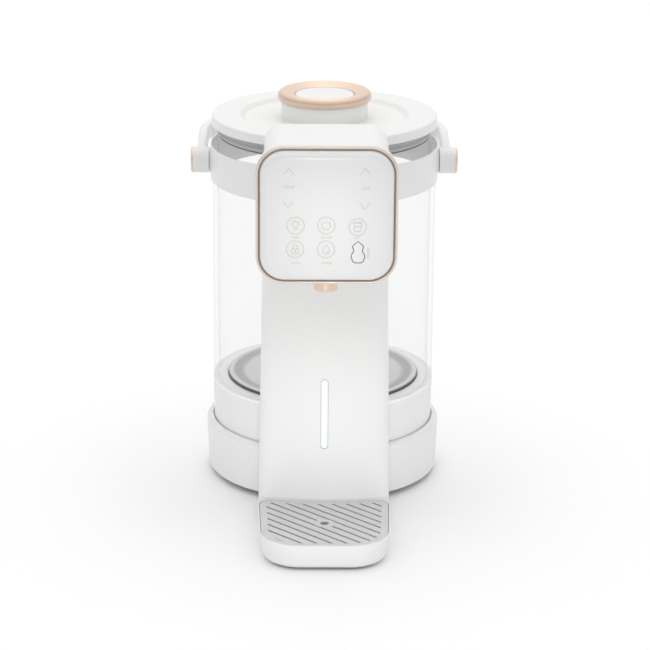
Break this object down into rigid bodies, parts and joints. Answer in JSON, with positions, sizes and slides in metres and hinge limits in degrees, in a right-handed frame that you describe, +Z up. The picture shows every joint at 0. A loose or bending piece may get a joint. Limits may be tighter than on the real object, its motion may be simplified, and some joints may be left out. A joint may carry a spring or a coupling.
{
  "type": "baby formula water dispenser",
  "caption": "Countertop formula water dispenser: a heated glass jug with a lid and bail handle on a round base, and a column with a touch panel, a spout and a drip tray.",
  "frame": {"origin": "on the table, under the middle of the whole outline", "axes": "+Z up, -Y towards the user (panel, spout and tray), +X to the user's right"},
  "size_m": [0.165, 0.2623, 0.2463],
  "materials": {
    "white_shell": "satin",
    "rose_gold": "polished",
    "jug_glass": "clear",
    "heater_steel": "brushed",
    "grille_grey": "matte",
    "seal_grey": "matte",
    "seal_white": "satin",
    "foot_rubber": "matte",
    "clear_hose": "satin",
    "dark_plastic": "matte",
    "valve_plastic": "satin",
    "circuit_board": "satin",
    "motor_steel": "satin",
    "screw_steel": "satin",
    "element_alloy": "matte",
    "light_diffuser": "frosted"
  },
  "bodies": {
    "base": {"base_shell": "white_shell", "bottom_plate": "white_shell", "rubber_feet": "foot_rubber", "plate_screws": "screw_steel", "cord_gland": "foot_rubber", "power_board": "circuit_board", "base_coupler": "dark_plastic", "inlet_socket": "valve_plastic", "socket_seal": "seal_grey", "pump_head": "dark_plastic", "pump_motor": "motor_steel", "pump_cradle": "dark_plastic", "inlet_hose": "clear_hose", "outlet_hose": "clear_hose", "column_front": "white_shell", "column_rear": "white_shell", "light_bar": "light_diffuser", "light_board": "circuit_board", "panel_shell": "white_shell", "panel_trim": "rose_gold", "panel_cover": "white_shell", "touch_board": "circuit_board", "display_module": "dark_plastic", "spout_nozzle": "rose_gold", "nozzle_tip": "seal_grey"},
    "jug": {"jug_glass": "jug_glass", "jug_foot": "white_shell", "glass_gasket": "seal_white", "heater_plate": "heater_steel", "heater_element": "element_alloy", "jug_cover": "white_shell", "jug_coupler": "dark_plastic", "valve_body": "valve_plastic", "valve_cap": "valve_plastic", "jug_collar": "white_shell"},
    "valve": {"valve_poppet": "valve_plastic"},
    "handle": {"bail_handle": "white_shell", "hub_trims": "rose_gold"},
    "lid": {"lid_cover": "white_shell", "lid_liner": "seal_grey", "lid_seal": "seal_grey", "knob_neck": "white_shell", "knob_ring": "rose_gold", "knob_cap": "white_shell", "knob_screw": "screw_steel"},
    "tray": {"drip_tray": "white_shell", "tray_feet": "foot_rubber"},
    "grille": {"drip_grille": "grille_grey"}
  },
  "joints": [
    {"name": "jug_lift", "type": "slide", "parent": "base", "child": "jug", "axis": [0, 0, 1], "range_m": [0, 0.22]},
    {"name": "lid_lift", "type": "slide", "parent": "jug", "child": "lid", "axis": [0, 0, 1], "range_m": [0, 0.03]},
    {"name": "handle_swing", "type": "hinge", "parent": "jug", "child": "handle", "pos_m": [0, 0.04535, 0.2012], "axis": [1, 0, 0], "range_deg": [0, 85]},
    {"name": "valve_travel", "type": "slide", "parent": "jug", "child": "valve", "axis": [0, 0, 1], "range_m": [-0.0019, 0]},
    {"name": "tray_slide", "type": "slide", "parent": "base", "child": "tray", "axis": [0, -1, 0], "range_m": [0, 0.085]},
    {"name": "grille_lift", "type": "slide", "parent": "tray", "child": "grille", "axis": [0, 0, 1], "range_m": [0, 0.03]}
  ],
  "couplings": [
    {"joint": "valve_travel", "follows": "jug_lift", "ratio": -0.008636}
  ]
}
